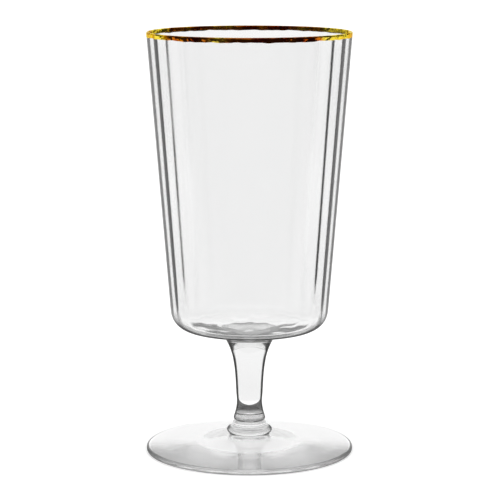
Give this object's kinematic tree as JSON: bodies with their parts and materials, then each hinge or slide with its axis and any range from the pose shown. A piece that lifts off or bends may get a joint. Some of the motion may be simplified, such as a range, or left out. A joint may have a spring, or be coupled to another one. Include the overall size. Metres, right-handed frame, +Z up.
{
  "type": "footed beer goblet",
  "caption": "Clear beer goblet: tall tapered bowl with faint upright waves inside, short solid waisted stem, round spreading foot and a narrow gilded lip.",
  "frame": {"origin": "middle of the ground under the foot", "axes": "+Z up along the stem to the lip, -Y towards the picture's viewer"},
  "size_m": [0.082, 0.082, 0.1661],
  "materials": {
    "clear_glass": "polished, colourless",
    "gilding": "bright fired gold"
  },
  "bodies": {
    "root": {"bowl": "clear_glass", "stem": "clear_glass", "foot": "clear_glass", "gold_rim": "gilding"}
  },
  "joints": []
}
